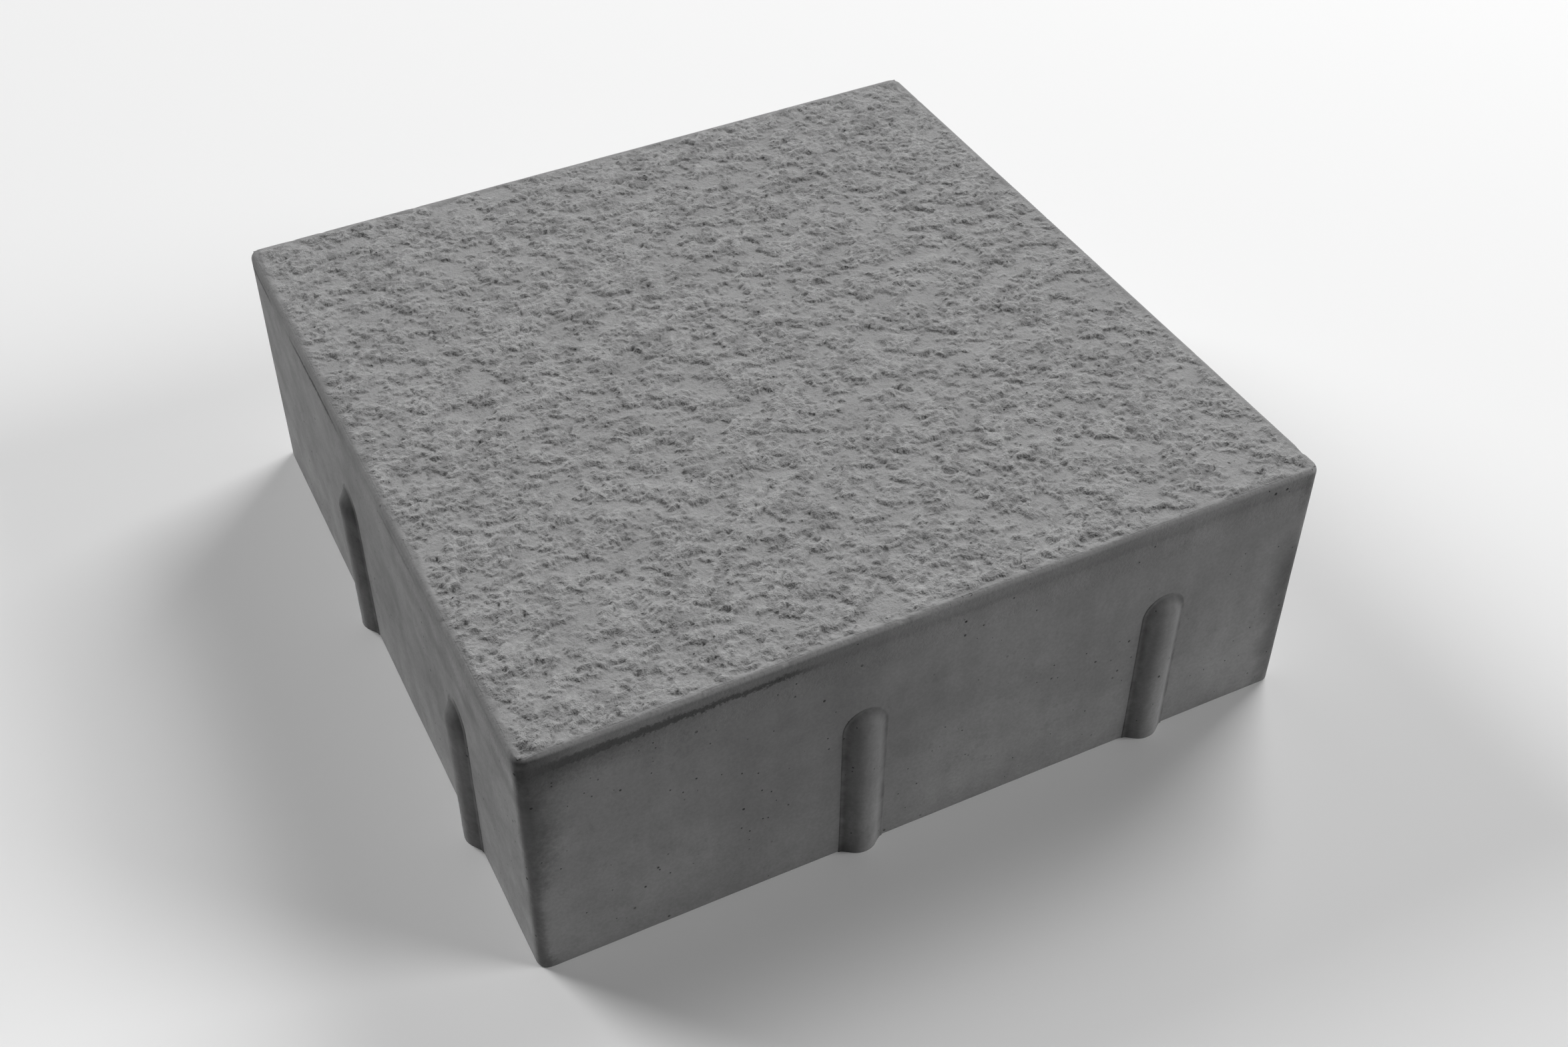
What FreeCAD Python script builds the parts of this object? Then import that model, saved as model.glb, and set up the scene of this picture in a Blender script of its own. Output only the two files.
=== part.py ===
import FreeCAD, Part
import Sketcher
import math
import os

# A square concrete paving block that is pressed in a steel mould. A coarse backing mix
# carries the load, a finer face mix is the rough wearing surface, and two vertical
# spacer nibs on each side hold the sand joint open. The origin is the middle of the bed
# face, +Z points up through the wearing face, and -Y is the front side.

DIMENSIONS = {
    "side": 195.0,               # length of each side, without the nibs
    "overall_height": 70.0,      # bed face to wearing face
    "face_thickness": 12.0,      # face mix on top of the backing mix
    "corner_radius": 3.0,        # upright corners
    "arris_radius": 1.5,         # rounding round the wearing face
    "nib_width": 10.0,           # nib at its root, along the side
    "nib_proud": 2.5,            # how far a nib stands off the side
    "nib_crest_radius": 5.0,     # rounding along the crest of a nib
    "nib_height": 45.5,          # bed face to the top of a nib
    "front_nib_near": 79.0,      # left end of the front or back to its first nib's middle
    "front_nib_far": 156.4,      # left end of the front or back to its second nib's middle
    "flank_nib_near": 76.0,      # the same for the left and right sides
    "flank_nib_far": 153.4,
}
SIDE_TURNS = {"front": 0, "right": 90, "back": 180, "left": 270}
UPRIGHT_TOLERANCE = 1e-6
TOP_TOLERANCE = 1e-4

doc = FreeCAD.newDocument("paving_block")
sheet = doc.addObject("Spreadsheet::Sheet", "dims")
for row, (word, value) in enumerate(DIMENSIONS.items(), start=1):
    sheet.set(f"A{row}", word)
    sheet.set(f"B{row}", str(value))
    sheet.setAlias(f"B{row}", word)
doc.recompute()


def new_body(label):
    body = doc.addObject("PartDesign::Body", label)
    body.Label = label
    return body


def new_sketch(body, name, height=None):
    """A sketch on the body's own XY plane, raised by an expression if one is given."""
    sketch = body.newObject("Sketcher::SketchObject", name)
    plane = [f for f in body.Origin.OriginFeatures if f.Role == "XY_Plane"][0]
    sketch.AttachmentSupport = [(plane, "")]
    sketch.MapMode = "FlatFace"
    if height:
        sketch.setExpression("AttachmentOffset.Base.z", height)
    return sketch


def bind(sketch, constraint, expression):
    """Adds a dimension to a sketch and ties it to the sheet."""
    index = sketch.addConstraint(constraint)
    sketch.setExpression(f"Constraints[{index}]", expression)


def draw_square(sketch, half):
    """A square about the origin: four lines, symmetric about both axes."""
    corners = [(-half, -half), (half, -half), (half, half), (-half, half)]
    points = [FreeCAD.Vector(x, y, 0) for x, y in corners]
    for start, end in zip(points, points[1:] + points[:1]):
        sketch.addGeometry(Part.LineSegment(start, end), False)
    for line in range(4):
        join = Sketcher.Constraint("Coincident", line, 2, (line + 1) % 4, 1)
        sketch.addConstraint(join)
    for line in (0, 2):
        sketch.addConstraint(Sketcher.Constraint("Horizontal", line))
    for line in (1, 3):
        sketch.addConstraint(Sketcher.Constraint("Vertical", line))
    sketch.addConstraint(Sketcher.Constraint("Symmetric", 0, 1, 1, 2, -1, 1))
    bind(sketch, Sketcher.Constraint("DistanceX", 0, 1, 0, 2, 2 * half), "dims.side")
    bind(sketch, Sketcher.Constraint("DistanceY", 1, 1, 1, 2, 2 * half), "dims.side")


def is_upright(edge):
    if edge.Curve.TypeId != "Part::GeomLine":
        return False
    return abs(abs(edge.Curve.Direction.z) - 1.0) < UPRIGHT_TOLERANCE


def fillet(body, name, base, edges, radius):
    """Rounds the chosen edges of the last feature with a radius from the sheet."""
    feature = body.newObject("PartDesign::Fillet", name)
    feature.Base = (base, edges)
    feature.setExpression("Radius", radius)
    doc.recompute()
    return feature


def upright_edges(shape):
    return [f"Edge{i}" for i, edge in enumerate(shape.Edges, 1) if is_upright(edge)]


def top_edges(shape):
    top = shape.BoundBox.ZMax
    flat = [e.BoundBox.ZMin > top - TOP_TOLERANCE for e in shape.Edges]
    return [f"Edge{i}" for i, on_top in enumerate(flat, 1) if on_top]


def make_layer(label, thickness, level):
    """A square slab with rounded upright corners, at its own level in the block."""
    body = new_body(label)
    outline = new_sketch(body, f"{label}_outline", level)
    draw_square(outline, DIMENSIONS["side"] / 2)
    pad = body.newObject("PartDesign::Pad", f"{label}_pad")
    pad.Profile = outline
    pad.setExpression("Length", thickness)
    doc.recompute()
    corners = upright_edges(pad.Shape)
    rounded = fillet(body, f"{label}_corners", pad, corners, "dims.corner_radius")
    return body, rounded


def make_core_block():
    """The backing mix, from the sharp-edged bed face up to the face mix."""
    body, _ = make_layer("core_block", "dims.overall_height - dims.face_thickness", None)
    return body


def make_face_layer():
    """The face mix, whose upper edge is rounded all the way round."""
    level = "dims.overall_height - dims.face_thickness"
    body, rounded = make_layer("face_layer", "dims.face_thickness", level)
    arris = top_edges(rounded.Shape)
    fillet(body, "face_layer_arris", rounded, arris, "dims.arris_radius")
    return body


def draw_nib_section(sketch, whole):
    """The cross-section of a nib, with the side of the block along the X axis.

    The flanks are straight and tangent to the crest. The half section stops at the
    middle plane, so that it can be revolved into the rounded top of the nib.
    """
    half = DIMENSIONS["nib_width"] / 2
    radius = DIMENSIONS["nib_crest_radius"]
    centre = DIMENSIONS["nib_proud"] - radius
    lean = math.acos(radius / math.hypot(half, centre)) + math.atan2(-centre, half)
    meet = FreeCAD.Vector(radius * math.cos(lean), centre + radius * math.sin(lean), 0)
    middle = FreeCAD.Vector(0, centre, 0)
    up = FreeCAD.Vector(0, 0, 1)
    root = FreeCAD.Vector(half, 0, 0)
    far_root = FreeCAD.Vector(-half if whole else 0, 0, 0)
    end = math.pi - lean if whole else math.pi / 2
    far_meet = middle + FreeCAD.Vector(math.cos(end), math.sin(end), 0) * radius
    crest = Part.ArcOfCircle(Part.Circle(middle, up, radius), lean, end)
    base = sketch.addGeometry(Part.LineSegment(far_root, root), False)
    flank = sketch.addGeometry(Part.LineSegment(root, meet), False)
    arc = sketch.addGeometry(crest, False)
    closing = sketch.addGeometry(Part.LineSegment(far_meet, far_root), False)
    add = sketch.addConstraint
    add(Sketcher.Constraint("Coincident", base, 2, flank, 1))
    add(Sketcher.Constraint("Tangent", flank, 2, arc, 1))
    add(Sketcher.Constraint("Coincident", closing, 2, base, 1))
    add(Sketcher.Constraint("PointOnObject", base, 2, -1))
    add(Sketcher.Constraint("PointOnObject", arc, 3, -2))
    if whole:
        add(Sketcher.Constraint("Tangent", arc, 2, closing, 1))
        add(Sketcher.Constraint("Symmetric", base, 1, base, 2, -2))
    else:
        add(Sketcher.Constraint("Coincident", arc, 2, closing, 1))
        add(Sketcher.Constraint("Coincident", base, 1, -1, 1))
        add(Sketcher.Constraint("Vertical", closing))
    bind(sketch, Sketcher.Constraint("DistanceX", -1, 1, base, 2, half), "dims.nib_width / 2")
    bind(sketch, Sketcher.Constraint("Radius", arc, radius), "dims.nib_crest_radius")
    drop = "dims.nib_crest_radius - dims.nib_proud"
    bind(sketch, Sketcher.Constraint("DistanceY", arc, 3, -1, 1, -centre), drop)


def make_nib(side_name, number, distance):
    """A nib: a straight rib from the bed face, and its section revolved into a dome."""
    label = f"spacer_nib_{side_name}_{number}"
    straight = "dims.nib_height - dims.nib_width / 2"
    body = new_body(label)
    section = new_sketch(body, f"{label}_section")
    draw_nib_section(section, True)
    rib = body.newObject("PartDesign::Pad", f"{label}_rib")
    rib.Profile = section
    rib.setExpression("Length", straight)
    doc.recompute()
    half_section = new_sketch(body, f"{label}_half_section", straight)
    draw_nib_section(half_section, False)
    dome = body.newObject("PartDesign::Revolution", f"{label}_dome")
    dome.Profile = half_section
    dome.ReferenceAxis = (half_section, ["V_Axis"])
    dome.Angle = 180
    dome.Reversed = True
    doc.recompute()
    place_nib(body, SIDE_TURNS[side_name], distance)
    return body


def place_nib(body, turn, distance):
    """Sets a nib against its side, with its crest outward."""
    outward = 180 + turn
    axis = FreeCAD.Vector(0, 0, 1)
    body.Placement = FreeCAD.Placement(FreeCAD.Vector(), FreeCAD.Rotation(axis, outward))
    along = f"({distance} - dims.side / 2)"
    off = "(dims.side / 2)"
    body.setExpression("Placement.Base.x", f"{along} * cos({turn} deg) + {off} * sin({turn} deg)")
    body.setExpression("Placement.Base.y", f"{along} * sin({turn} deg) - {off} * cos({turn} deg)")


def check_document(parts):
    for item in doc.Objects:
        bad = [word for word in item.State if word in ("Invalid", "Error")]
        if bad:
            raise RuntimeError(f"{item.Label} is {bad}")
    for part in parts:
        shape = part.Shape
        if shape.isNull() or not shape.isValid() or len(shape.Solids) != 1:
            raise RuntimeError(f"{part.Label} isn't one valid solid")


parts = [make_core_block(), make_face_layer()]
for side_name in SIDE_TURNS:
    pair = "front" if side_name in ("front", "back") else "flank"
    parts.append(make_nib(side_name, 1, f"dims.{pair}_nib_near"))
    parts.append(make_nib(side_name, 2, f"dims.{pair}_nib_far"))
doc.recompute()
check_document(parts)

os.makedirs("parts", exist_ok=True)
for part in parts:
    box = part.Shape.BoundBox
    print(part.Label, [round(v, 2) for v in (box.XMin, box.YMin, box.ZMin)],
          [round(v, 2) for v in (box.XMax, box.YMax, box.ZMax)],
          "volume", round(part.Shape.Volume, 1))
    part.Shape.exportStep(f"parts/{part.Label}.step")
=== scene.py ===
import itertools
import math

import bmesh
import bpy
import numpy as np
from mathutils import Matrix, Vector
from mathutils.geometry import delaunay_2d_cdt


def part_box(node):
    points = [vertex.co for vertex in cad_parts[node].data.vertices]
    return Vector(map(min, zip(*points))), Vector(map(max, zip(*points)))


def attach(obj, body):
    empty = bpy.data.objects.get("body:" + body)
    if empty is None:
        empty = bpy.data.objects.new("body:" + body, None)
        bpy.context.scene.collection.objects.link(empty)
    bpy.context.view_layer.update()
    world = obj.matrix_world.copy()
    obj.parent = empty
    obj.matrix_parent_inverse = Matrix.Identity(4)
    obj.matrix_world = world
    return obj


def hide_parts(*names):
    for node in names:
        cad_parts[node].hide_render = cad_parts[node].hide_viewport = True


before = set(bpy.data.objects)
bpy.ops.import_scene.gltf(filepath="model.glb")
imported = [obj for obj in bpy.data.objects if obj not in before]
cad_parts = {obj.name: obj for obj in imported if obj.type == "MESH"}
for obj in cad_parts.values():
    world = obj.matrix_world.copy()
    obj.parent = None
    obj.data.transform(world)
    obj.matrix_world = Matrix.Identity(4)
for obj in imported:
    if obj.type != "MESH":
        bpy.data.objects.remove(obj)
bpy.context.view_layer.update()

# Every length below is in metres, in the frame of the part: +Z up, -Y out of the front.
MM = 0.001
CORE_LOW, CORE_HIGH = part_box("core_block")
FACE_LOW, FACE_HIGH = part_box("face_layer")
NIB_LOW, NIB_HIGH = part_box("spacer_nib_front_1")
HALF = CORE_HIGH.x                      # half the side of the block
SEAM = FACE_LOW.z                       # where the face mix meets the backing mix
TOP = FACE_HIGH.z                       # level of the highest points of the wearing face
CORNER_RADIUS = 3.0 * MM
ARRIS_WIDTH = 1.2 * MM                  # the rounded upper edge, measured inward
ARRIS_DROP = 1.5 * MM                   # and measured downward
RIM_LEVEL = TOP - 0.70 * MM             # the smooth rim lies below the highest points
ARRIS_FOOT = RIM_LEVEL - ARRIS_DROP     # where the rounded upper edge turns into the side
FLAT_HALF = HALF - ARRIS_WIDTH


# ---------------------------------------------------------------- noise

def gradient_noise(points, seed):
    """Smooth noise of about -1 to 1 at points of three coordinates, one lump per unit."""
    rng = np.random.default_rng(seed)
    table = rng.permutation(256)
    slopes = rng.normal(size=(256, 3))
    slopes /= np.linalg.norm(slopes, axis=1)[:, None]
    cell = np.floor(points).astype(int)
    part = points - cell
    ease = part ** 3 * (part * (part * 6 - 15) + 10)
    total = np.zeros(len(points))
    for corner in itertools.product((0, 1), repeat=3):
        key = (cell + corner) & 255
        index = table[(table[(table[key[:, 0]] + key[:, 1]) & 255] + key[:, 2]) & 255]
        lift = (slopes[index] * (part - corner)).sum(axis=1)
        weight = np.where(corner, ease, 1 - ease).prod(axis=1)
        total += weight * lift
    return total * 1.6


def layered_noise(points, size, layers, seed, fade=0.5):
    """Gradient noise in layers, each half the size of the last and fade times as strong."""
    total = np.zeros(len(points))
    for layer in range(layers):
        scale = 2 ** layer / size
        total += fade ** layer * gradient_noise(points * scale + 7.3 * layer, seed + layer)
    return total


def crests(points, size, bluntness, seed):
    """Noise with narrow crests between round hollows, up to 1."""
    lump = gradient_noise(points / size + 3.3, seed)
    return 1 - np.sqrt(lump ** 2 + bluntness ** 2)


def ramp(value, low, high):
    """0 below low and 1 above high, smooth between."""
    share = np.clip((value - low) / (high - low), 0, 1)
    return share * share * (3 - 2 * share)


# ---------------------------------------------------------------- outline of the block

def round_corners(points, half, radius):
    """Moves points of a square outline onto the same square with rounded corners."""
    start = half - radius
    middle = np.clip(points, -start, start)
    out = points - middle
    length = np.linalg.norm(out, axis=1)
    at_corner = (np.abs(points) > start).all(axis=1)
    scale = np.where(at_corner & (length > 0), radius / np.maximum(length, 1e-12), 1.0)
    return middle + out * scale[:, None]


def outline(cells):
    """A unit square's outline, anticlockwise from its front left corner."""
    step = np.linspace(-1, 1, cells + 1)[:-1]
    edge = np.ones(cells)
    front = np.stack([step, -edge], axis=1)
    right = np.stack([edge, step], axis=1)
    return np.concatenate([front, right, -front, -right])


def outline_ring(cells, half, radius, level):
    """The rounded outline at a level, with cells points along each side."""
    ring = round_corners(outline(cells) * half, half, radius)
    return np.column_stack([ring, np.full(len(ring), level)])


def outward(points):
    """The direction that a side of the block faces at each point, rounded at the corners."""
    start = HALF - CORNER_RADIUS
    out = points[:, :2] - np.clip(points[:, :2], -start, start)
    flat = np.linalg.norm(out, axis=1) < 1e-9
    out[flat] = points[flat, :2]
    out /= np.linalg.norm(out, axis=1)[:, None]
    return np.column_stack([out, np.zeros(len(points))])


def side_wave(points):
    """How far a mould-cast side stands off its plane: long shallow waves, inward only."""
    wave = 0.07 * layered_noise(points, 34 * MM, 2, 11)
    ripple = 0.012 * layered_noise(points, 5 * MM, 2, 21)
    return (wave + ripple - 0.12) * MM


def wall_ring(cells, level, inset=0.0):
    """One loop of the block's side at a level, waves included."""
    ring = outline_ring(cells, HALF, CORNER_RADIUS, level)
    return ring + outward(ring) * (side_wave(ring) - inset)[:, None]


# ---------------------------------------------------------------- meshes

def strip_faces(lower, upper, columns):
    """Quads between two loops of the same number of points, facing outward."""
    here = np.arange(columns)
    after = np.roll(here, -1)
    return np.stack([lower + here, lower + after, upper + after, upper + here], axis=1)


def fan_faces(loop, middle, columns, downward):
    """Triangles from a loop to one point inside it."""
    here = np.arange(columns)
    after = np.roll(here, -1)
    first, second = (after, here) if downward else (here, after)
    return np.stack([loop + first, loop + second, np.full(columns, middle)], axis=1)


def make_mesh(name, points, faces):
    """A smooth-shaded object at the origin."""
    mesh = bpy.data.meshes.new(name)
    mesh.from_pydata(points.tolist(), [], faces)
    mesh.validate()
    mesh.shade_smooth()
    obj = bpy.data.objects.new(name, mesh)
    bpy.context.scene.collection.objects.link(obj)
    return obj


def add_value(obj, name, values):
    """Stores one number per vertex, for the material to read, and 0 on any vertices left over."""
    padded = np.zeros(len(obj.data.vertices), np.float32)
    padded[:len(values)] = values
    attribute = obj.data.attributes.new(name, "FLOAT", "POINT")
    attribute.data.foreach_set("value", padded)


def sharpen(obj, chosen):
    """Marks the edges as sharp whose two ends are both among the chosen vertices."""
    mesh = obj.data
    marked = np.zeros(len(mesh.vertices), bool)
    marked[chosen] = True
    ends = np.zeros(len(mesh.edges) * 2, np.int32)
    mesh.edges.foreach_get("vertices", ends)
    attribute = mesh.attributes.new("sharp_edge", "BOOLEAN", "EDGE")
    attribute.data.foreach_set("value", marked[ends.reshape(-1, 2)].all(axis=1))


def turn_faces_outward(obj):
    shape = bmesh.new()
    shape.from_mesh(obj.data)
    bmesh.ops.recalc_face_normals(shape, faces=shape.faces)
    shape.to_mesh(obj.data)
    shape.free()


# ---------------------------------------------------------------- wearing face

TOP_CELLS = 520                         # squares along each edge of the wearing face
ARRIS_RINGS = 6
FACE_WALL_RINGS = 12

TEXTURE_SLANT = math.radians(-14)       # the hollows lie longer this way
TEXTURE_STRETCH = 1.25
WARP_SIZE = 4.0 * MM                    # the texture's outlines are bent in lumps of this size
WARP_REACH = 1.0 * MM
CLUMP_SIZE = 5.2 * MM                   # clumps of crumbs stand on a smoother bed
CLUMP_HEIGHT = 0.72 * MM
CRUMB_SIZE = 2.4 * MM                   # narrow crests cover the clumps, in two sizes
FINE_CRUMB_SIZE = 1.2 * MM
FINE_CRUMB_SHARE = 0.55
CRUMB_HEIGHT = 0.68 * MM
MEAN_CREST = 0.7
GRAIN_SIZE = 1.0 * MM
GRAIN_HEIGHT = 0.22 * MM
SWELL_SIZE = 11.0 * MM
SWELL_HEIGHT = 0.22 * MM
BED_ROUGHNESS = 0.25                    # how crumbly the bed is, against 1 on the clumps
PATCH_SIZE = 4.2 * MM

RIM_WIDTH = 1.9 * MM                    # the texture starts about this far in from the side
RIM_WANDER = 0.9 * MM
RIM_BLEND = 0.8 * MM
RIM_WAVE = 0.05 * MM
RIM_PERCENTILE = 50                     # percent of the texture that lies lower than the smooth rim

CHIP_SIZE = 6.0 * MM
CHIP_DEPTH = 0.25 * MM
NICK_PLACE = np.array([-HALF + 2.2 * MM, -HALF + 1.4 * MM, RIM_LEVEL])
NICK_REACH = 3.2 * MM
NICK_DEPTH = 0.55 * MM


def slanted(points):
    """Squeezes points along the texture's slant, so that noise comes out longer there."""
    slant = np.array([math.cos(TEXTURE_SLANT), math.sin(TEXTURE_SLANT), 0])
    along = points @ slant
    return points + np.outer(along * (1 / TEXTURE_STRETCH - 1), slant)


def warped(points):
    """Moves points sideways by noise, so that the texture's outlines aren't smooth."""
    across = layered_noise(points, WARP_SIZE, 3, 31, 0.6)
    along = layered_noise(points, WARP_SIZE, 3, 41, 0.6)
    return points + np.stack([across, along, np.zeros(len(points))], axis=1) * WARP_REACH


def relief(points):
    """Crumbly clumps on a smoother bed.

    Returns the height in metres, and how dark (painted shade and dirt in the hollows), how much of a
    crest and how crumbly each place is.
    """
    bent = slanted(warped(points))
    clump = ramp(layered_noise(bent, CLUMP_SIZE, 4, 71, 0.62), -0.60, 0.65)
    fine_crest = crests(bent, FINE_CRUMB_SIZE, 0.08, 83) - MEAN_CREST
    crest = crests(bent, CRUMB_SIZE, 0.05, 82) + FINE_CRUMB_SHARE * fine_crest
    grain = gradient_noise(points / GRAIN_SIZE, 91)
    swell = layered_noise(points, SWELL_SIZE, 2, 51)
    crumbly = BED_ROUGHNESS + (1 - BED_ROUGHNESS) * ramp(clump, 0.05, 0.45)
    crumbs = CRUMB_HEIGHT * (crest - MEAN_CREST) + GRAIN_HEIGHT * grain
    height = CLUMP_HEIGHT * clump + SWELL_HEIGHT * swell + crumbs * crumbly
    patch = layered_noise(bent, PATCH_SIZE, 3, 61, 0.6)
    # Painted shade and dirt: the hollows between the crests and some patches come out darker.
    dark = ((0.72 - crest) * 1.1 + 0.9 * patch) * crumbly
    return height, dark, crest * crumbly, crumbly


def texture_share(points):
    """0 on the smooth rim and 1 where the rough texture has begun."""
    inset = HALF - np.abs(points[:, :2]).max(axis=1)
    start = RIM_WIDTH + RIM_WANDER * layered_noise(points, 6 * MM, 3, 111)
    begun = ramp(inset, start - RIM_BLEND, start + RIM_BLEND)
    return begun * ramp(inset, ARRIS_WIDTH, ARRIS_WIDTH + RIM_BLEND)


def chip_depth(points):
    """How deep the small chips and the nick along the rounded upper edge are, in metres."""
    chips = ramp(layered_noise(points, CHIP_SIZE, 3, 151), 0.55, 1.0) * CHIP_DEPTH
    gap = np.linalg.norm(points - NICK_PLACE, axis=1)
    ragged = NICK_REACH * (1 + 0.35 * layered_noise(points, 2.5 * MM, 2, 161))
    return chips + ramp(gap, ragged, ragged * 0.3) * NICK_DEPTH


def arris_ring(turn, border_lift):
    """One loop of the rounded upper edge, from the rim at turn 0 to the side at a quarter turn."""
    half = FLAT_HALF + ARRIS_WIDTH * math.sin(turn)
    radius = CORNER_RADIUS - HALF + half
    points = outline_ring(TOP_CELLS, half, radius, RIM_LEVEL - ARRIS_DROP * (1 - math.cos(turn)))
    out = outward(points)
    wave = side_wave(points) * math.sin(turn)
    facing = out * math.sin(turn) + np.array([0, 0, math.cos(turn)])
    points += out * wave[:, None] - facing * (chip_depth(points) * math.cos(turn) ** 0.5)[:, None]
    points[:, 2] += (border_lift + chip_depth(points)) * math.cos(turn) ** 3
    return points


def make_wearing_face():
    """The face mix: rough top, rounded arris, and the upper part of the sides."""
    step = np.linspace(-FLAT_HALF, FLAT_HALF, TOP_CELLS + 1)
    x, y = np.meshgrid(step, step)
    flat = np.column_stack([x.ravel(), y.ravel(), np.full(x.size, RIM_LEVEL)])
    height, dark, crest, crumbly = relief(flat)
    height -= np.percentile(height, RIM_PERCENTILE)
    roughened = texture_share(flat)
    rim_wave = layered_noise(flat, 9 * MM, 2, 171) * RIM_WAVE
    lift = height * roughened + rim_wave * (1 - roughened) - chip_depth(flat)
    flat[:, 2] = np.minimum(RIM_LEVEL + lift, TOP)

    grid = np.arange(x.size).reshape(x.shape)
    top_faces = np.stack([grid[:-1, :-1], grid[:-1, 1:], grid[1:, 1:], grid[1:, :-1]], axis=-1)
    border = np.concatenate([grid[0, :-1], grid[:-1, -1], grid[-1, :0:-1], grid[:0:-1, 0]])
    turns = [ring / ARRIS_RINGS * math.pi / 2 for ring in range(1, ARRIS_RINGS + 1)]
    rings = [arris_ring(turn, flat[border, 2] - RIM_LEVEL) for turn in turns]
    for level in np.linspace(ARRIS_FOOT, SEAM, FACE_WALL_RINGS + 1)[1:]:
        rings.append(wall_ring(TOP_CELLS, level))
    points = np.concatenate([flat, *rings, [[0, 0, SEAM]]])

    columns = len(border)
    starts = [x.size + ring * columns for ring in range(len(rings))]
    here = np.arange(columns)
    after = np.roll(here, -1)
    faces = [top_faces.reshape(-1, 4)]
    faces.append(np.stack([starts[0] + here, starts[0] + after, border[after], border[here]], axis=1))
    for upper, lower in zip(starts, starts[1:]):
        faces.append(strip_faces(lower, upper, columns))
    under = fan_faces(starts[-1], len(points) - 1, columns, True)
    obj = make_mesh("wearing_face", points, np.concatenate(faces).tolist() + under.tolist())

    sharpen(obj, np.arange(starts[-1], starts[-1] + columns))
    # dark carries the painted shade and dirt of the hollows.
    add_value(obj, "dark", dark)
    # crest carries where the crests are paler with wear and painted highlight.
    add_value(obj, "crest", crest)
    add_value(obj, "crumbly", crumbly)
    add_value(obj, "roughened", roughened)
    arris_shares = np.repeat([math.cos(turn) for turn in turns], columns)
    add_value(obj, "top_share", np.concatenate([np.ones(x.size), arris_shares]))
    return obj


wearing_face = make_wearing_face()
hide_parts("face_layer")
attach(wearing_face, "root")


# ---------------------------------------------------------------- core block

SIDE_CELLS = 240                        # squares along each side of the core
CORE_WALL_RINGS = 60
EDGE_WEAR = [(0.0, 0.3 * MM), (0.08 * MM, 0.1 * MM), (0.3 * MM, 0.0)]   # level and inset of each loop
BED_SPACING = 2.0 * MM
BED_DENTS = 0.4 * MM


def fill_flat(ring, level, spacing):
    """Triangles over the inside of a loop, with inner points spacing apart."""
    count = int(2 * HALF / spacing)
    step = (np.arange(count) + 0.5) / count * 2 * HALF - HALF
    x, y = np.meshgrid(step, step)
    inner = np.column_stack([x.ravel(), y.ravel()])
    inner = inner[np.abs(inner).max(axis=1) < HALF - spacing]
    flat = np.concatenate([ring[:, :2], inner])
    edges = [(i, (i + 1) % len(ring)) for i in range(len(ring))]
    found = delaunay_2d_cdt([Vector(p) for p in flat], edges, [], 1, 1e-9)
    points, faces, origin = found[0], found[2], found[3]
    return np.array([[p.x, p.y, level] for p in points]), faces, origin


def make_core():
    """The backing mix: mould-cast sides and the bed face, with a worn lower edge."""
    worn_top = EDGE_WEAR[-1][0]
    step = (SEAM - worn_top) / CORE_WALL_RINGS
    upper = [(worn_top + step * ring, 0.0) for ring in range(1, CORE_WALL_RINGS + 1)]
    rings = [wall_ring(SIDE_CELLS, level, inset) for level, inset in EDGE_WEAR + upper]
    columns = len(rings[0])
    points = np.concatenate([*rings, [[0, 0, SEAM]]])
    faces = [strip_faces(i * columns, (i + 1) * columns, columns) for i in range(len(rings) - 1)]
    last = (len(rings) - 1) * columns
    lid = fan_faces(last, len(points) - 1, columns, False)

    bed, bed_faces, origin = fill_flat(rings[0], 0.0, BED_SPACING)
    inset = HALF - np.abs(bed[:, :2]).max(axis=1)
    dents = np.abs(layered_noise(bed, 7 * MM, 3, 131)) * ramp(inset, 1 * MM, 6 * MM)
    bed[:, 2] = dents * BED_DENTS
    number = {new: old[0] for new, old in enumerate(origin) if old and old[0] < columns}
    extra = [i for i in range(len(bed)) if i not in number]
    number.update({new: len(points) + k for k, new in enumerate(extra)})
    under = [[number[i] for i in reversed(face)] for face in bed_faces]
    points = np.concatenate([points, bed[extra]])
    obj = make_mesh("core_skin", points, np.concatenate(faces).tolist() + lid.tolist() + under)
    sharpen(obj, np.r_[0:columns, last:last + columns])
    return obj


core_skin = make_core()
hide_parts("core_block")
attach(core_skin, "root")


# ---------------------------------------------------------------- spacer nibs

NIB_TURNS = {"front": 0, "right": 90, "back": 180, "left": 270}
NIB_WIDTH = NIB_HIGH.x - NIB_LOW.x
NIB_HALF = NIB_WIDTH / 2
NIB_STAND = CORE_LOW.y - NIB_LOW.y
NIB_TOP = NIB_HIGH.z
NIB_CREST_RADIUS = 5.0 * MM
NIB_ROOT_BLEND = 0.22 * MM              # small fillet where a nib meets the side
NIB_REACH = NIB_HALF + 1.1 * MM         # from the middle line to where a nib dips into the side
NIB_SINK = 0.5 * MM
NIB_ROWS = 90
NIB_DOME_STEPS = 36
NIB_RINGS = 26


def nib_profile(reach):
    """How far a nib stands off the side at a distance from its middle line."""
    depth = NIB_CREST_RADIUS - NIB_STAND
    meet = math.atan2(depth, NIB_HALF) + math.acos(NIB_CREST_RADIUS / math.hypot(NIB_HALF, depth))
    meet_reach = NIB_CREST_RADIUS * math.cos(meet)
    meet_stand = NIB_CREST_RADIUS * math.sin(meet) - depth
    arc = np.sqrt(np.clip(NIB_CREST_RADIUS ** 2 - reach ** 2, 0, None)) - depth
    flank = meet_stand * (NIB_HALF - reach) / (NIB_HALF - meet_reach)
    stand = np.where(reach < meet_reach, arc, flank)
    stand = (stand + np.sqrt(stand ** 2 + NIB_ROOT_BLEND ** 2)) / 2
    return np.minimum(stand, NIB_STAND) - NIB_SINK * ramp(reach, NIB_HALF + 0.5 * MM, NIB_REACH)


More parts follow.
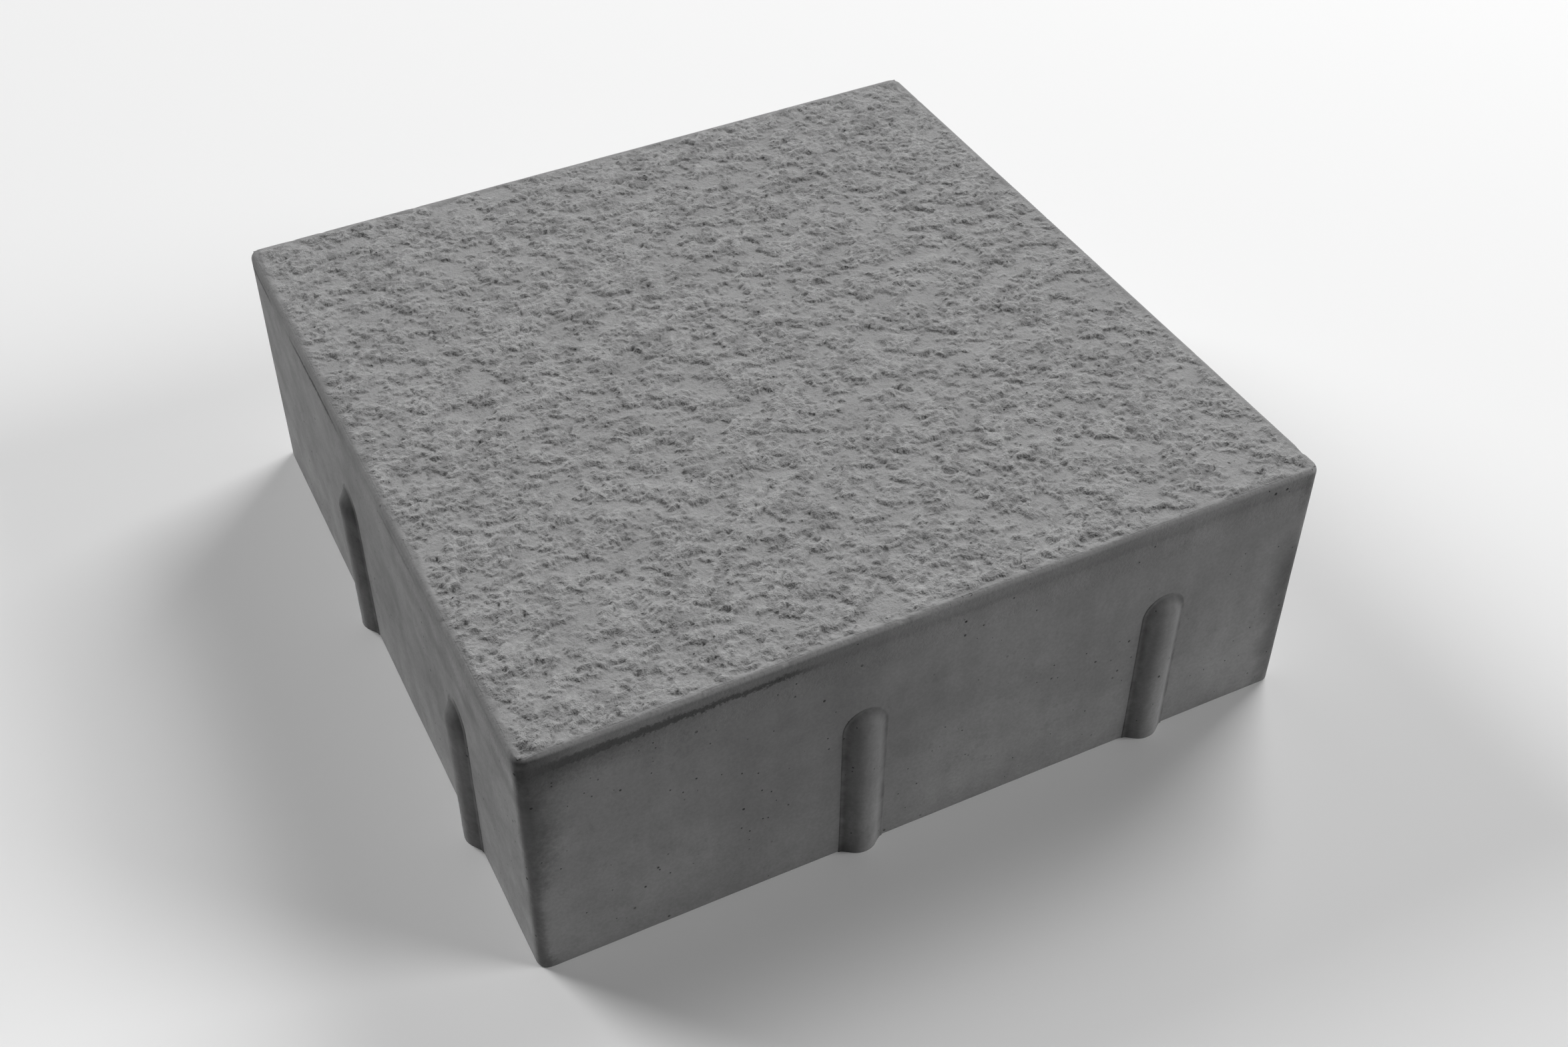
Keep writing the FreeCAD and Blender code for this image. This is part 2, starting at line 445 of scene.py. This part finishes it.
def nib_shift(node):
    """Moves the unevenness of each nib to its own part of the noise."""
    return np.array([0.05, 0.03, 0.07]) * sum(map(ord, node)) * MM


def make_nib(node):
    """A rib with a rounded top, slightly uneven, sunk a little into the side.

    Its spine runs up one flank, round the dome and down the other flank; at every step of the
    spine a row of points goes outward from the crest line.
    """
    low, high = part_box(node)
    turn = math.radians(NIB_TURNS[node.split("_")[2]])
    spin = np.array([[math.cos(turn), math.sin(turn)], [-math.sin(turn), math.cos(turn)]])
    centre = np.array([(low.x + high.x) / 2, (low.y + high.y) / 2])
    along = float((centre @ spin.T)[0])

    straight = NIB_TOP - NIB_HALF
    rise = np.linspace(0, straight, NIB_ROWS)[:-1]
    bend = np.linspace(0, math.pi, NIB_DOME_STEPS + 1)
    spine = np.concatenate([rise, np.full(len(bend), straight), rise[::-1]])
    sideways = np.concatenate([np.full(len(rise), -1.0), -np.cos(bend), np.full(len(rise), 1.0)])
    upward = np.concatenate([np.zeros(len(rise)), np.sin(bend), np.zeros(len(rise))])
    reach = np.linspace(0, NIB_REACH, NIB_RINGS + 1)[1:]
    x = sideways[:, None] * reach
    z = spine[:, None] + upward[:, None] * reach
    rim = np.column_stack([x.ravel() + along, np.zeros(x.size), z.ravel()])
    crest_z = np.unique(spine)
    crest = np.column_stack([np.full(len(crest_z), along), np.zeros(len(crest_z)), crest_z])
    points = np.concatenate([rim, crest])
    stand = np.broadcast_to(nib_profile(reach), x.shape).ravel()
    stand = np.concatenate([stand, np.full(len(crest), NIB_STAND)])
    uneven = layered_noise(points + nib_shift(node), 3.5 * MM, 3, 141) * 0.06 * MM
    points[:, 1] = -HALF - np.minimum(stand + uneven * ramp(stand / MM, -0.2, 0.6), NIB_STAND)

    crest_row = {round(level, 9): len(rim) + i for i, level in enumerate(crest_z)}
    crest_line = [crest_row[round(level, 9)] for level in spine]
    columns = len(spine)
    faces = []
    for column in range(columns - 1):
        here, there = column * NIB_RINGS, (column + 1) * NIB_RINGS
        inner_here, inner_there = crest_line[column], crest_line[column + 1]
        inmost = [inner_here, here, there, inner_there]
        faces.append(inmost if inner_here != inner_there else inmost[:3])
        for ring in range(NIB_RINGS - 1):
            faces.append([here + ring, here + ring + 1, there + ring + 1, there + ring])
    left = list(range(NIB_RINGS))
    right = [(columns - 1) * NIB_RINGS + ring for ring in range(NIB_RINGS)]
    faces.append([crest_line[0], *right, *reversed(left)])
    faces.append([column * NIB_RINGS + NIB_RINGS - 1 for column in range(columns)])
    points[:, :2] = points[:, :2] @ spin

    obj = make_mesh(node.replace("spacer_nib", "nib"), points, faces)
    turn_faces_outward(obj)
    sharpen(obj, left + right + [crest_line[0]])
    # root marks where painted shade and dirt darken the angle between a nib and the side.
    root = np.broadcast_to(reach, x.shape).ravel()
    add_value(obj, "root", ramp(root, 0.62 * NIB_HALF, NIB_HALF))
    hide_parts(node)
    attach(obj, "root")
    return obj


nibs = [make_nib(node) for node in sorted(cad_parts) if node.startswith("spacer_nib")]


# ---------------------------------------------------------------- shader nodes

class Graph:
    """A short way to write shader nodes: each call adds one and gives its output."""

    def __init__(self, name):
        self.material = bpy.data.materials.new(name)
        self.material.use_nodes = True
        self.tree = self.material.node_tree
        self.shader = self.tree.nodes["Principled BSDF"]
        coordinates = self.tree.nodes.new("ShaderNodeTexCoord")
        self.place = coordinates.outputs["Object"]

    def feed(self, socket, value):
        if isinstance(value, bpy.types.NodeSocket):
            self.tree.links.new(value, socket)
        else:
            socket.default_value = value

    def math(self, operation, *values):
        node = self.tree.nodes.new("ShaderNodeMath")
        node.operation = operation
        for socket, value in zip(node.inputs, values):
            self.feed(socket, value)
        return node.outputs[0]

    def plus(self, a, b):
        return self.math("ADD", a, b)

    def minus(self, a, b):
        return self.math("SUBTRACT", a, b)

    def distance(self, a, b):
        return self.math("ABSOLUTE", self.minus(a, b))

    def linear(self, share, rise, start):
        """The start, plus the rise times the share."""
        return self.math("MULTIPLY_ADD", share, rise, start)

    def product(self, *values):
        total = values[0]
        for value in values[1:]:
            total = self.math("MULTIPLY", total, value)
        return total

    def rest(self, share, amount=1.0):
        """What is left of a tone where share, from 0 to 1, takes away that amount."""
        return self.minus(1.0, self.product(share, amount))

    def blend(self, first, second, share):
        """The first where share is 0 and the second where it is 1."""
        return self.linear(second, share, self.product(first, self.rest(share)))

    def ramp(self, value, low, high, to_low=0.0, to_high=1.0):
        """Goes smoothly from to_low to to_high as the value goes from low to high."""
        node = self.tree.nodes.new("ShaderNodeMapRange")
        node.interpolation_type = "SMOOTHSTEP"
        for socket, number in zip(node.inputs, (value, low, high, to_low, to_high)):
            self.feed(socket, number)
        return node.outputs["Result"]

    def drawn_out(self, scale):
        """The place, scaled along each axis: noise comes out longer where the scale is under 1."""
        node = self.tree.nodes.new("ShaderNodeMapping")
        self.feed(node.inputs["Vector"], self.place)
        node.inputs["Scale"].default_value = scale
        return node.outputs["Vector"]

    def noise(self, size, detail=2.0, roughness=0.5, place=None):
        """Noise between 0 and 1 with lumps of that size in metres."""
        node = self.tree.nodes.new("ShaderNodeTexNoise")
        self.feed(node.inputs["Vector"], place or self.place)
        node.inputs["Scale"].default_value = 1.0 / size
        node.inputs["Detail"].default_value = detail
        node.inputs["Roughness"].default_value = roughness
        return node.outputs["Fac"]

    def tone(self, amount, size, **options):
        """Noise as a tone about 1, that far above and below it."""
        return self.ramp(self.noise(size, **options), 0.30, 0.70, 1 - amount, 1 + amount)

    def wander(self, reach, size, spread=0.20, **options):
        """Noise as a distance from -reach to reach; a smaller spread reaches the ends sooner."""
        return self.ramp(self.noise(size, **options), 0.5 - spread, 0.5 + spread, -reach, reach)

    def dots(self, spacing, radius):
        """1 inside small round dots, about one per cube of the spacing, and 0 outside."""
        node = self.tree.nodes.new("ShaderNodeTexVoronoi")
        self.feed(node.inputs["Vector"], self.place)
        node.inputs["Scale"].default_value = 1.0 / spacing
        return self.ramp(node.outputs["Distance"], radius / spacing * 0.6, radius / spacing, 1.0, 0.0)

    def attribute(self, name):
        node = self.tree.nodes.new("ShaderNodeAttribute")
        node.attribute_name = name
        return node.outputs["Fac"]

    def axis(self, name):
        node = self.tree.nodes.new("ShaderNodeSeparateXYZ")
        self.feed(node.inputs[0], self.place)
        return node.outputs[name]

    def grey(self, value):
        node = self.tree.nodes.new("ShaderNodeCombineColor")
        for socket in node.inputs:
            self.feed(socket, value)
        return node.outputs[0]

    def finish(self, albedo, roughness, height, depth):
        """Joins the colour, the roughness and a bump whose height is depth metres deep."""
        bump = self.tree.nodes.new("ShaderNodeBump")
        bump.inputs["Strength"].default_value = 1.0
        bump.inputs["Distance"].default_value = depth
        self.feed(bump.inputs["Height"], height)
        self.feed(self.shader.inputs["Base Color"], self.grey(albedo))
        self.feed(self.shader.inputs["Roughness"], roughness)
        self.feed(self.shader.inputs["Normal"], bump.outputs["Normal"])
        self.shader.inputs["Specular IOR Level"].default_value = 0.35
        return self.material


# ---------------------------------------------------------------- dirt and painted shade on the sides

STAIN_AND_SHADE_DARKNESS = 0.80                   # how much of the light a full stain or full painted shade takes away
LINE_TOP = ARRIS_FOOT - 1.9 * MM        # where the dirt under the rounded edge begins


class SideGraph(Graph):
    """Shader nodes with the place on the block, and 1 on the front and on the left side."""

    def __init__(self, name):
        super().__init__(name)
        self.x, self.y, self.z = self.axis("X"), self.axis("Y"), self.axis("Z")
        self.on_front = self.beside(self.y)
        self.on_left = self.beside(self.x)

    def beside(self, axis):
        """1 on the side at the low end of an axis, fading round its upright corners."""
        return self.ramp(axis, -HALF + 2.4 * MM, -HALF + 1.0 * MM)

    def smudge(self, along, middle, half_length):
        """1 at the middle of a stretch along an axis, and 0 beyond its ends."""
        return self.ramp(self.distance(along, middle), half_length * 0.4, half_length, 1.0, 0.0)


def corner_halo(graph):
    """Dark dust beside the upright corners, wider near the top and widest at the front left."""
    fray = graph.wander(1.6 * MM, 1.3 * MM, spread=0.30, detail=3.0, roughness=0.75)
    drift = graph.wander(2.2 * MM, 18 * MM, spread=0.25, detail=3.0)
    across = graph.math("MINIMUM", graph.math("ABSOLUTE", graph.x), graph.math("ABSOLUTE", graph.y))
    gap = graph.plus(graph.minus(HALF, across), graph.plus(fray, drift))
    rise = graph.ramp(graph.z, 0.25 * TOP, 0.95 * TOP)
    left_end = graph.product(graph.on_front, graph.ramp(graph.x, 0.0, -0.5 * HALF))
    width = graph.linear(graph.product(left_end, rise), 7.5 * MM, 3.0 * MM)
    near = graph.ramp(graph.math("DIVIDE", gap, width), 0.0, 1.4, 1.0, 0.0)
    strength = graph.linear(graph.product(left_end, graph.blend(0.45, 1.0, rise)), 0.65, 0.28)
    return graph.product(near, strength, graph.blend(0.55, 1.0, graph.rest(graph.on_left)))


def arris_line(graph):
    """Dark dirt just under the rounded edge: strong on the left third of the front, broken elsewhere."""
    bristle = graph.wander(0.6 * MM, 0.9 * MM, spread=0.25, detail=3.0, roughness=0.8)
    sag = graph.wander(0.3 * MM, 12 * MM)
    depth = graph.plus(graph.minus(LINE_TOP, graph.z), graph.plus(bristle, sag))
    toward_corner = graph.product(graph.ramp(graph.x, -0.45 * HALF, -1.0 * HALF), graph.on_front)
    thick = graph.linear(toward_corner, 1.6 * MM, 1.1 * MM)
    line = graph.ramp(graph.minus(depth, thick), -0.2 * MM, 0.5 * MM, 1.0, 0.0)
    shade = graph.product(graph.ramp(depth, 0.5 * MM, 9.0 * MM, 1.0, 0.0), toward_corner, 0.95)
    begun = graph.ramp(depth, -0.7 * MM, 0.3 * MM)
    line = graph.product(graph.math("MAXIMUM", line, shade), begun)

    front = graph.ramp(graph.x, -0.26 * HALF, -0.42 * HALF, 0.12, 1.0)
    left = graph.plus(graph.smudge(graph.y, 0.42 * HALF, 26 * MM),
                      graph.product(graph.smudge(graph.y, 0.90 * HALF, 13 * MM), 0.8))
    left = graph.plus(left, graph.product(graph.smudge(graph.y, -0.24 * HALF, 16 * MM), 0.35))
    other = graph.ramp(graph.noise(45 * MM, detail=1.0), 0.44, 0.58, 0.05, 0.5)
    strength = graph.blend(graph.blend(other, left, graph.on_left), front, graph.on_front)
    return graph.product(line, strength)


def painted_front_shade(graph):
    """Painted shade: the front is darker all over, and more so on its left and near its top."""
    drift = graph.wander(0.15 * HALF, 50 * MM)
    leftward = graph.ramp(graph.plus(graph.x, drift), 0.22 * HALF, -0.35 * HALF)
    upward = graph.ramp(graph.z, 0.45 * TOP, ARRIS_FOOT)
    return [graph.product(graph.on_front, leftward, graph.linear(upward, 0.10, 0.20)),
            graph.product(graph.on_front, graph.linear(upward, 0.11, 0.10))]


def seam_course(graph):
    """A darker course under the seam runs along the front half of the left side."""
    gap = graph.distance(graph.z, SEAM - 2.0 * MM)
    gap = graph.plus(gap, graph.wander(1.5 * MM, 10 * MM, detail=3.0))
    strength = graph.ramp(graph.y, 0.2 * HALF, -0.5 * HALF, 0.0, 0.26)
    return graph.product(graph.on_left, graph.ramp(gap, 4.5 * MM, 0.5 * MM), strength)


def upper_shade(graph):
    """A soft dark course just below the arris all round, and a darker arris on the left."""
    course = graph.ramp(graph.distance(graph.z, LINE_TOP), 4.2 * MM, 0.0, 0.0, 0.20)
    arris = graph.ramp(graph.z, ARRIS_FOOT - 1.5 * MM, ARRIS_FOOT, 0.0, 0.20)
    return [course, graph.product(graph.on_left, arris)]


def damp_end(graph):
    """A damp strip darkens the right end of the front."""
    place = graph.plus(graph.x, graph.wander(0.9 * MM, 5 * MM, detail=3.0))
    right_end = graph.ramp(place, 0.90 * HALF, 0.975 * HALF)
    return graph.product(graph.on_front, right_end, graph.smudge(graph.z, 22 * MM, 36 * MM), 0.65)


def darker_left_nibs(graph):
    """The left nibs are darker, most of all near their rounded tops."""
    on_nib = graph.ramp(graph.x, -HALF, -HALF - 0.3 * MM)
    return graph.product(on_nib, graph.ramp(graph.z, NIB_TOP - 12 * MM, NIB_TOP - 3 * MM, 0.12, 0.60))


def mottling(graph):
    """Splashes along the foot, clouds on the left side, and patches of small mottles."""
    splash = graph.ramp(graph.noise(6 * MM, detail=5.0, roughness=0.75), 0.50, 0.62)
    cloud = graph.ramp(graph.noise(11 * MM, detail=3.0, roughness=0.6), 0.40, 0.62)
    mottle = graph.ramp(graph.noise(3.2 * MM, detail=4.0, roughness=0.75), 0.54, 0.66)
    patch = graph.ramp(graph.noise(28 * MM), 0.50, 0.62)
    return [graph.product(graph.ramp(graph.z, 12 * MM, 1 * MM), splash, 0.10),
            graph.product(graph.on_left, cloud, 0.16),
            graph.product(mottle, patch, 0.14)]


def stains_and_painted_shade(graph):
    """The share of the tone that dirt, damp and painted shade leave on the mould-cast sides."""
    parts = [corner_halo(graph), arris_line(graph), *painted_front_shade(graph), seam_course(graph),
             *upper_shade(graph), damp_end(graph), darker_left_nibs(graph), *mottling(graph)]
    unstained_unshaded = graph.product(*[graph.rest(part) for part in parts])
    return graph.rest(graph.rest(unstained_unshaded), STAIN_AND_SHADE_DARKNESS)


# ---------------------------------------------------------------- concrete

ALBEDO_SIDE = 0.215
ALBEDO_TOP = 0.300
# Painted shade inside the pinholes.
PINHOLE_SHADE = 0.80
ROOT_DIRT_AND_SHADE = 0.60                    # dirt and painted shade in the angle between a nib and the side
FOOT_RISE = 36 * MM                     # painted light: the sides are paler below this level
FOOT_LIGHT_GAIN = 0.36
UPRIGHT_STREAK = (1.0, 1.0, 0.13)
# Painted shade and dirt darken the pits.
PIT_DIRT_AND_SHADE = 0.20
# Wear and painted highlight make the crests paler.
CREST_WEAR_AND_HIGHLIGHT = 0.18
SPECKLE_DARKNESS = 0.25
# Painted shade inside the pores.
PORE_SHADE = 0.60
RIM_TONE = 0.84                         # the smooth rim against the bed of the texture
LEFT_RIM_TONE = 0.68
SIDE_BUMP = 0.18 * MM
FACE_BUMP = 0.46 * MM


def side_tone(graph):
    """Mould-cast concrete: clouds, faint upright streaks and fine grain, about 1."""
    clouds = graph.tone(0.07, 30 * MM, detail=3.0)
    patches = graph.tone(0.06, 9 * MM, detail=4.0, roughness=0.6)
    streaks = graph.tone(0.04, 6 * MM, detail=3.0, place=graph.drawn_out(UPRIGHT_STREAK))
    grain = graph.tone(0.06, 0.9 * MM, roughness=0.7)
    specks = graph.ramp(graph.noise(2.2 * MM, detail=3.0, roughness=0.7), 0.62, 0.75, 1.0, 0.90)
    return graph.product(clouds, patches, streaks, grain, specks)


def pinholes(graph):
    """Small round holes of two sizes, in some places and not in others."""
    some = graph.ramp(graph.noise(20 * MM, detail=1.0), 0.40, 0.60)
    holes = graph.math("MAXIMUM", graph.dots(5.0 * MM, 0.42 * MM), graph.dots(3.1 * MM, 0.26 * MM))
    return graph.product(holes, some)


def side_concrete(name):
    """Mould-cast concrete for the core and the nibs; a nib's root is darker with dirt and painted shade.
    """
    graph = SideGraph(name)
    # The pinholes are darkened with painted shade.
    holes = pinholes(graph)
    # Patchy dirt and painted shade at a nib's root.
    dirt = graph.ramp(graph.noise(4 * MM, detail=3.0), 0.3, 0.7, 0.35, 0.8)
    root = graph.product(graph.attribute("root"), dirt)
    # Painted light: the sides are paler towards the foot.
    painted_foot_light = graph.ramp(graph.z, FOOT_RISE, 0.0, 1.0, 1.0 + FOOT_LIGHT_GAIN)
    albedo = graph.product(side_tone(graph), stains_and_painted_shade(graph), graph.rest(holes, PINHOLE_SHADE),
                           graph.rest(root, ROOT_DIRT_AND_SHADE), painted_foot_light, ALBEDO_SIDE)
    grain = graph.noise(1.2 * MM, detail=4.0, roughness=0.6)
    height = graph.linear(grain, 0.25, graph.product(holes, -1.0))
    roughness = graph.ramp(graph.noise(6 * MM, detail=3.0), 0.3, 0.7, 0.72, 0.86)
    return graph.finish(albedo, roughness, height, SIDE_BUMP)


def face_concrete(name):
    """The wearing face: pale crests with wear and painted highlight, darker pits with dirt, painted
    shade and coarse grain, then the plain side below.
    """
    graph = SideGraph(name)
    dark, crest, crumbly = graph.attribute("dark"), graph.attribute("crest"), graph.attribute("crumbly")
    roughened, top_share = graph.attribute("roughened"), graph.attribute("top_share")
    holes = graph.product(pinholes(graph), graph.rest(roughened))

    # Fine grain frays the borders of the pits and speckles them with dark grains.
    fine = graph.wander(1.0, 0.7 * MM, spread=0.25, roughness=0.75)
    # Painted shade and dirt darken the pits.
    pit_dirt_and_shade = graph.product(graph.ramp(graph.linear(fine, 0.35, dark), -0.20, 0.55), roughened)
    # Wear and painted highlight make the ridges paler.
    ridge_wear_and_highlight = graph.minus(crest, graph.product(graph.math("ABSOLUTE", fine), 0.3))
    ridge_wear_and_highlight = graph.product(graph.ramp(ridge_wear_and_highlight, 0.62, 0.95), graph.rest(pit_dirt_and_shade), roughened)
    speckle = graph.product(graph.ramp(fine, 0.25, 0.9), pit_dirt_and_shade)
    # The pores in the pits are darkened with painted shade.
    pores = graph.product(graph.dots(3.0 * MM, 0.36 * MM), pit_dirt_and_shade)
    on_left_rim = graph.ramp(graph.x, -HALF + 4 * MM, -HALF + 2 * MM)
    rim = graph.blend(RIM_TONE, LEFT_RIM_TONE, on_left_rim)
    top = graph.product(graph.rest(pit_dirt_and_shade, PIT_DIRT_AND_SHADE), graph.linear(ridge_wear_and_highlight, CREST_WEAR_AND_HIGHLIGHT, 1.0),
                        graph.linear(fine, 0.07, 1.0), graph.rest(speckle, SPECKLE_DARKNESS),
                        graph.blend(rim, 1.0, roughened), graph.rest(pores, PORE_SHADE),
                        graph.tone(0.05, 14 * MM, detail=3.0), ALBEDO_TOP)
    side = graph.product(side_tone(graph), stains_and_painted_shade(graph), graph.rest(holes, PINHOLE_SHADE),
                         ALBEDO_SIDE)
    albedo = graph.blend(side, top, graph.ramp(top_share, 0.15, 0.75))

    # The bump is fine grain and folds, weaker on the rim and on the bed, with dents at the holes.
    fold = graph.wander(1.0, 1.5 * MM, spread=0.25, roughness=0.6)
    fold = graph.minus(1.0, graph.math("ABSOLUTE", fold))
    grains = graph.linear(fold, 0.30, graph.noise(0.8 * MM, detail=3.0, roughness=0.7))
    grains = graph.product(grains, graph.blend(0.5, 1.0, roughened),
                           graph.ramp(crumbly, BED_ROUGHNESS, 1.0, 0.55, 1.0))
    height = graph.minus(grains, graph.plus(holes, pores))
    roughness = graph.ramp(graph.noise(6 * MM, detail=3.0), 0.3, 0.7, 0.78, 0.92)
    return graph.finish(albedo, roughness, height, FACE_BUMP)


def dress(obj, material):
    obj.data.materials.clear()
    obj.data.materials.append(material)


mould_side = side_concrete("mould_cast_concrete")
for piece in [core_skin, *nibs]:
    dress(piece, mould_side)
dress(wearing_face, face_concrete("wearing_face_concrete"))


# ---------------------------------------------------------------- studio

FLOOR_SIZE = 8.0
FLOOR_TONE = 0.86
CAMERA_STANDS = (-25.68, 40.92)         # azimuth and elevation from the block's middle
CAMERA_LOOKS = (-24.06, 41.52)          # the way it is turned, the same way measured
CAMERA_ROLL = -1.72
CAMERA_DISTANCE = 2.536 * 2 * HALF
CAMERA_LENS = 44.4
CAMERA_SHIFT = (0.051, -0.029)
SOFTBOX_DISTANCE = 2.6
SOFTBOX_SIZE = 1.2


def backward(azimuth, elevation):
    """The direction from the block to something that stands at those angles."""
    a, e = math.radians(azimuth), math.radians(elevation)
    return Vector((math.sin(a) * math.cos(e), -math.cos(a) * math.cos(e), math.sin(e)))


def make_camera():
    data = bpy.data.cameras.new("camera")
    data.lens = CAMERA_LENS
    data.sensor_width = 36.0
    data.shift_x, data.shift_y = CAMERA_SHIFT
    data.clip_start = 0.01
    camera = bpy.data.objects.new("camera", data)
    bpy.context.scene.collection.objects.link(camera)
    back = backward(*CAMERA_LOOKS)
    right = Vector((0, 0, 1)).cross(back).normalized()
    up = back.cross(right)
    roll = Matrix.Rotation(math.radians(CAMERA_ROLL), 3, "Z")
    turned = Matrix((right, up, back)).transposed() @ roll
    place = Vector((0, 0, TOP / 2)) + backward(*CAMERA_STANDS) * CAMERA_DISTANCE
    camera.matrix_world = Matrix.Translation(place) @ turned.to_4x4()
    bpy.context.scene.camera = camera


def place_light(name, kind, azimuth, elevation):
    """A light that stands at an angle to the block and faces it."""
    data = bpy.data.lights.new(name, kind)
    light = bpy.data.objects.new(name, data)
    bpy.context.scene.collection.objects.link(light)
    back = backward(azimuth, elevation)
    light.location = back * SOFTBOX_DISTANCE
    light.rotation_mode = "QUATERNION"
    light.rotation_quaternion = back.to_track_quat("Z", "Y")
    return data


def softbox(name, azimuth, elevation, power):
    data = place_light(name, "AREA", azimuth, elevation)
    data.size = SOFTBOX_SIZE
    data.energy = power


def far_softbox(name, azimuth, elevation, strength):
    """A softbox so far away that it lights the whole floor evenly."""
    data = place_light(name, "SUN", azimuth, elevation)
    data.angle = SOFTBOX_SIZE / SOFTBOX_DISTANCE
    data.energy = strength


def make_floor():
    mesh = bpy.data.meshes.new("floor")
    s = FLOOR_SIZE / 2
    mesh.from_pydata([(-s, -s, 0), (s, -s, 0), (s, s, 0), (-s, s, 0)], [], [(0, 1, 2, 3)])
    floor = bpy.data.objects.new("floor", mesh)
    bpy.context.scene.collection.objects.link(floor)
    graph = Graph("pale_floor")
    graph.shader.inputs["Base Color"].default_value = (FLOOR_TONE, FLOOR_TONE, FLOOR_TONE, 1)
    graph.shader.inputs["Roughness"].default_value = 0.95
    dress(floor, graph.material)


def make_world():
    """A white backdrop that the camera sees and that throws no light on the block."""
    world = bpy.data.worlds.new("studio")
    world.use_nodes = True
    background = world.node_tree.nodes["Background"]
    background.inputs["Color"].default_value = (1, 1, 1, 1)
    world.cycles_visibility.diffuse = False
    world.cycles_visibility.glossy = False
    bpy.context.scene.world = world


make_floor()
make_world()
softbox("key_softbox", azimuth=122, elevation=46, power=40)
far_softbox("left_softbox", azimuth=-150, elevation=28, strength=2.43)
far_softbox("right_softbox", azimuth=60, elevation=25, strength=1.66)
make_camera()
bpy.context.scene.view_settings.view_transform = "Standard"
